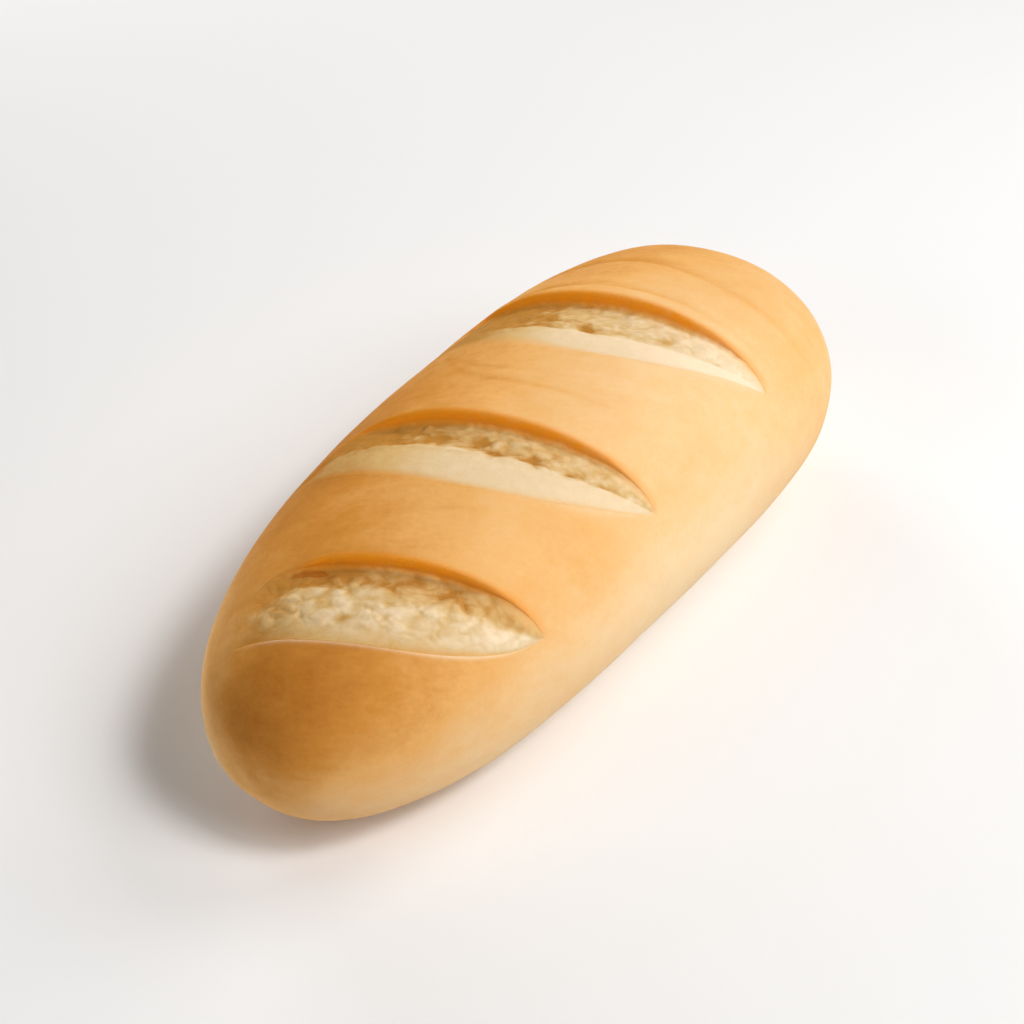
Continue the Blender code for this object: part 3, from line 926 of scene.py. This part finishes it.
def noise_node(tree, vector, scale, detail, roughness, distortion=0.0):
    """A Noise node over a vector, and its result."""
    node = tree.nodes.new("ShaderNodeTexNoise")
    feed(tree, (node.inputs["Vector"], vector), (node.inputs["Scale"], scale))
    set_inputs(node, Detail=detail, Roughness=roughness, Distortion=distortion)
    return node.outputs["Fac"]


def blended(tree, share, first, second):
    """A Mix node for colours, and its result."""
    node = tree.nodes.new("ShaderNodeMix")
    node.data_type = "RGBA"
    colours = [socket for socket in node.inputs if socket.type == "RGBA"]
    feed(tree, (node.inputs["Factor"], share), (colours[0], first), (colours[1], second))
    return next(socket for socket in node.outputs if socket.type == "RGBA")


def mottling_group():
    """Soft blotches of two sizes, centred on 0: for colour that bakes unevenly."""
    group, start, end = new_group("mottling", "Value", Scale=60.0, Strength=0.2)
    vector, scale, strength = (start.outputs[name] for name in ("Vector", "Scale", "Strength"))
    broad = noise_node(group, vector, scale, 2.0, 0.5, 0.4)
    fine = noise_node(group, vector, maths(group, "MULTIPLY", scale, 4.7), 4.0, 0.6, 0.2)
    both = maths(group, "ADD", maths(group, "MULTIPLY", broad, 0.6), maths(group, "MULTIPLY", fine, 0.4))
    centred = maths(group, "SUBTRACT", both, 0.5)
    group.links.new(maths(group, "MULTIPLY", centred, strength), end.inputs["Value"])
    return group


def grain_group():
    """Fine grain of a baked or torn surface, as a height in 0 to 1."""
    group, start, end = new_group("fine grain", "Height", Scale=900.0, Pores=0.4)
    vector, scale, amount = (start.outputs[name] for name in ("Vector", "Scale", "Pores"))
    grain = noise_node(group, vector, scale, 4.0, 0.62)
    cells = group.nodes.new("ShaderNodeTexVoronoi")
    feed(group, (cells.inputs["Vector"], vector),
         (cells.inputs["Scale"], maths(group, "MULTIPLY", scale, 0.55)))
    pores = maths(group, "SUBTRACT", 0.35, cells.outputs["Distance"], clamp=True)
    pores = maths(group, "MULTIPLY", pores, amount)
    group.links.new(maths(group, "SUBTRACT", grain, pores), end.inputs["Height"])
    return group


def placed_group(tree, group, vector, **values):
    """A node of a shared group in a material, with its own values."""
    node = tree.nodes.new("ShaderNodeGroup")
    node.node_tree = group
    tree.links.new(vector, node.inputs["Vector"])
    set_inputs(node, **values)
    return node.outputs[0]


def attribute(tree, name):
    """The value of one of the mesh's own attributes."""
    node = tree.nodes.new("ShaderNodeAttribute")
    node.attribute_name = name
    return node.outputs["Fac"]


def new_material(name):
    """A material with its Principled shader, and the place of each point on the object."""
    material = bpy.data.materials.new(name)
    material.use_nodes = True
    tree = material.node_tree
    shader = tree.nodes["Principled BSDF"]
    place = tree.nodes.new("ShaderNodeTexCoord").outputs["Object"]
    return material, tree, shader, place


def bumped(tree, shader, height, distance, strength):
    """Roughen a shader's surface by a height."""
    node = tree.nodes.new("ShaderNodeBump")
    set_inputs(node, Distance=distance, Strength=strength)
    feed(tree, (node.inputs["Height"], height), (shader.inputs["Normal"], node.outputs["Normal"]))


def along_streaks(tree, place):
    """The same place, turned and drawn out along the way the dough was rolled, beside the slashes."""
    node = tree.nodes.new("ShaderNodeMapping")
    node.vector_type = "TEXTURE"
    set_inputs(node, Rotation=(0.0, 0.0, math.radians(-55)), Scale=(3.2, 1.0, 1.0))
    tree.links.new(place, node.inputs["Vector"])
    return node.outputs["Vector"]


def ramped(tree, share, colours):
    """A Color Ramp through evenly spaced colours, and its result."""
    node = tree.nodes.new("ShaderNodeValToRGB")
    points = node.color_ramp.elements
    points[0].color = colours[0]
    points[-1].color = colours[-1]
    for step, colour in enumerate(colours[1:-1], start=1):
        points.new(step / (len(colours) - 1)).color = colour
    tree.links.new(share, node.inputs["Fac"])
    return node.outputs["Color"]


def crust_tone(tree, colours, place, mottling):
    """Crust colour from how far it is baked: from pale over golden to brown, with blotches and streaks."""
    bake = attribute(tree, "bake")
    streaks = along_streaks(tree, place)
    for vector, scale, strength in ((place, 38.0, 0.30), (streaks, 150.0, 0.26), (place, 520.0, 0.16)):
        bake = maths(tree, "ADD", bake, placed_group(tree, mottling, vector, Scale=scale, Strength=strength))
    return ramped(tree, bake, (colours.crust_pale, colours.crust_light, colours.crust_golden,
                               colours.crust_tan, colours.crust_brown))


def uneven(tree, name, place, mottling, scale, strength):
    """An attribute whose edge is broken up by mottling, and which stays 0 where it is 0."""
    value = attribute(tree, name)
    broken = maths(tree, "ADD", placed_group(tree, mottling, place, Scale=scale, Strength=strength), 1.0)
    return maths(tree, "MULTIPLY", value, broken, clamp=True)


def rimmed(tree, tone, colours, rim):
    """A tone that gives way to the rim's colour as far as there is a rim."""
    share = maths(tree, "MULTIPLY", rim, RIM_STRENGTH)
    return blended(tree, share, tone, tuple(colours.crust_rim))


def crust_material(colours, mottling, grain):
    """Baked crust: its tone, orange at rims, pale where torn and in a painted highlight, satin, a bit
    uneven.
    """
    material, tree, shader, place = new_material("crust")
    tone = crust_tone(tree, colours, place, mottling)
    tone = rimmed(tree, tone, colours, uneven(tree, "rim", place, mottling, 220.0, 0.6))
    torn = uneven(tree, "torn", place, mottling, 300.0, 1.2)
    tone = blended(tree, torn, tone, tuple(colours.crumb_cream))
    rough = maths(tree, "ADD", placed_group(tree, mottling, place, Scale=160.0, Strength=0.2), 0.7)
    feed(tree, (shader.inputs["Base Color"], tone), (shader.inputs["Roughness"], rough))
    set_inputs(shader, Specular_IOR_Level=0.12, Subsurface_Weight=0.1,
               Subsurface_Radius=(1.0, 0.45, 0.2), Subsurface_Scale=2 * MM)
    bumped(tree, shader, placed_group(tree, grain, place, Scale=700.0, Pores=0.3), 0.12 * MM, 0.35)
    material.diffuse_color = colours.crust_golden
    return material


def crumb_material(colours, mottling, grain):
    """Torn crumb: cream to golden (partly painted shade), browned over where it meets the crust, matt and
    porous.
    """
    material, tree, shader, place = new_material("crumb")
    golden = maths(tree, "ADD", attribute(tree, "golden"),
                   placed_group(tree, mottling, place, Scale=240.0, Strength=0.34))
    tone = ramped(tree, golden, (colours.crumb_cream, colours.crumb_peach, colours.crumb_straw,
                                 colours.crumb_golden))
    tone = blended(tree, attribute(tree, "browned"), tone, crust_tone(tree, colours, place, mottling))
    tone = rimmed(tree, tone, colours, uneven(tree, "rim", place, mottling, 240.0, 0.9))
    tree.links.new(tone, shader.inputs["Base Color"])
    set_inputs(shader, Roughness=0.85, Specular_IOR_Level=0.2, Subsurface_Weight=0.2,
               Subsurface_Radius=(1.0, 0.85, 0.65), Subsurface_Scale=1.5 * MM)
    bumped(tree, shader, placed_group(tree, grain, place, Scale=900.0, Pores=0.9), 0.25 * MM, 0.5)
    material.diffuse_color = colours.crumb_cream
    return material


def floor_material(colours, mottling, grain):
    """A plain pale floor, hardly uneven."""
    material, tree, shader, place = new_material("floor")
    tint = maths(tree, "ADD", placed_group(tree, mottling, place, Scale=2.0, Strength=0.015), 1.0)
    node = tree.nodes.new("ShaderNodeHueSaturation")
    feed(tree, (node.inputs["Color"], colours.floor), (node.inputs["Value"], tint),
         (shader.inputs["Base Color"], node.outputs["Color"]))
    set_inputs(shader, Roughness=0.9, Specular_IOR_Level=0.2)
    bumped(tree, shader, placed_group(tree, grain, place, Scale=1500.0, Pores=0.0), 0.03 * MM, 0.3)
    return material


def shared_groups():
    """The two node groups that every material uses, built once."""
    mottling = bpy.data.node_groups.get("mottling") or mottling_group()
    grain = bpy.data.node_groups.get("fine grain") or grain_group()
    return mottling, grain


# -------------------- operators


class LOAF_OT_make_crust(bpy.types.Operator):
    """Makes the baked crust, which stands for the solid of the loaf"""

    bl_idname = "loaf.make_crust"
    bl_label = "Make the crust"

    def execute(self, context):
        sizes, colours = context.scene.loaf_sizes, context.scene.loaf_colours
        angle = column_angles()
        x = lines_along(sizes, angle)
        place, values = crust_skin(sizes, x, np.broadcast_to(angle, x.shape))
        context.scene.loaf_aside = settled(place)
        place[..., 1] += context.scene.loaf_aside
        piece = closed_skin("loaf_crust", place, values)
        piece.data.materials.append(crust_material(colours, *shared_groups()))
        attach(piece, "root")
        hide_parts("loaf")
        return {"FINISHED"}


class LOAF_OT_make_crumb(bpy.types.Operator):
    """Makes the bed of torn crumb in each of the three slashes"""

    bl_idname = "loaf.make_crumb"
    bl_label = "Make the torn crumb"

    def execute(self, context):
        sizes, colours = context.scene.loaf_sizes, context.scene.loaf_colours
        material = crumb_material(colours, *shared_groups())
        for number, slash in enumerate(SLASHES):
            rings, values = bed_grid(sizes, slash, number)
            rings[..., 1] += context.scene.loaf_aside
            piece = closed_skin(slash["piece"], rings, values)
            piece.data.materials.append(material)
            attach(piece, "root")
        return {"FINISHED"}


def direction(bearing, elevation):
    """A direction from its bearing, counted from the picture's right, and its elevation, in degrees."""
    turn, rise = math.radians(CAMERA_AZIMUTH + bearing), math.radians(elevation)
    return Vector((math.cos(turn) * math.cos(rise), math.sin(turn) * math.cos(rise), math.sin(rise)))


def softbox(name, bearing, elevation, size, power, sheen):
    """A square white light, turned towards the loaf."""
    towards = direction(bearing, elevation)
    light = bpy.data.lights.new(name, "AREA")
    light.size = size
    light.energy = power
    lamp = bpy.data.objects.new(name, light)
    lamp.location = towards * LIGHT_DISTANCE + LIGHT_TARGET
    lamp.rotation_euler = (-towards).to_track_quat("-Z", "Y").to_euler()
    lamp.visible_camera = False
    lamp.visible_glossy = sheen
    bpy.context.scene.collection.objects.link(lamp)


class LOAF_OT_make_stage(bpy.types.Operator):
    """Makes the pale floor, the soft lights and the camera"""

    bl_idname = "loaf.make_stage"
    bl_label = "Make the stage"

    def execute(self, context):
        scene, colours = context.scene, context.scene.loaf_colours
        mesh = bpy.data.meshes.new("floor")
        half = FLOOR_SIZE / 2
        corners = [(-half, -half, 0), (half, -half, 0), (half, half, 0), (-half, half, 0)]
        mesh.from_pydata(corners, [], [(0, 1, 2, 3)])
        floor = bpy.data.objects.new("floor", mesh)
        floor.data.materials.append(floor_material(colours, *shared_groups()))
        scene.collection.objects.link(floor)
        for light in LIGHTS:
            softbox(*light)
        world = bpy.data.worlds.new("studio")
        world.use_nodes = True
        set_inputs(world.node_tree.nodes["Background"], Color=ROOM_COLOUR, Strength=ROOM_STRENGTH)
        scene.world = world
        scene.view_settings.view_transform = "Standard"
        back, right = direction(-90, CAMERA_ELEVATION), direction(0, 0)
        turn = Matrix((right, back.cross(right), back)).transposed().to_4x4()
        turn.translation = CAMERA_TARGET + back * CAMERA_DISTANCE
        camera = bpy.data.objects.new("camera", bpy.data.cameras.new("camera"))
        camera.matrix_world = turn
        camera.data.lens = CAMERA_LENS
        camera.data.shift_x = SHIFT_X
        camera.data.shift_y = SHIFT_Y
        scene.collection.objects.link(camera)
        scene.camera = camera
        return {"FINISHED"}


class LOAF_PT_panel(bpy.types.Panel):
    """Sizes, colours and the steps that make the loaf"""

    bl_label = "Long white loaf"
    bl_idname = "LOAF_PT_panel"
    bl_space_type = "VIEW_3D"
    bl_region_type = "UI"
    bl_category = "Loaf"

    def draw(self, context):
        for group in (context.scene.loaf_sizes, context.scene.loaf_colours):
            box = self.layout.box()
            for name in group.__annotations__:
                box.prop(group, name)
        for operator in (LOAF_OT_make_crust, LOAF_OT_make_crumb, LOAF_OT_make_stage):
            self.layout.operator(operator.bl_idname)


CLASSES = (LoafSizes, LoafColours, LOAF_OT_make_crust, LOAF_OT_make_crumb, LOAF_OT_make_stage, LOAF_PT_panel)


def register():
    """Register the classes, and the scene's sizes and colours."""
    for item in CLASSES:
        bpy.utils.register_class(item)
    bpy.types.Scene.loaf_sizes = bpy.props.PointerProperty(type=LoafSizes)
    bpy.types.Scene.loaf_colours = bpy.props.PointerProperty(type=LoafColours)
    bpy.types.Scene.loaf_aside = bpy.props.FloatProperty(
        name="Aside", description="How far the loaf is moved sideways into its box", unit="LENGTH")


def unregister():
    """Take them away again."""
    del bpy.types.Scene.loaf_aside
    del bpy.types.Scene.loaf_colours
    del bpy.types.Scene.loaf_sizes
    for item in reversed(CLASSES):
        bpy.utils.unregister_class(item)


def main():
    """Make the loaf and its stage."""
    register()
    bpy.ops.loaf.make_crust()
    bpy.ops.loaf.make_crumb()
    bpy.ops.loaf.make_stage()


if __name__ == "__main__":
    main()
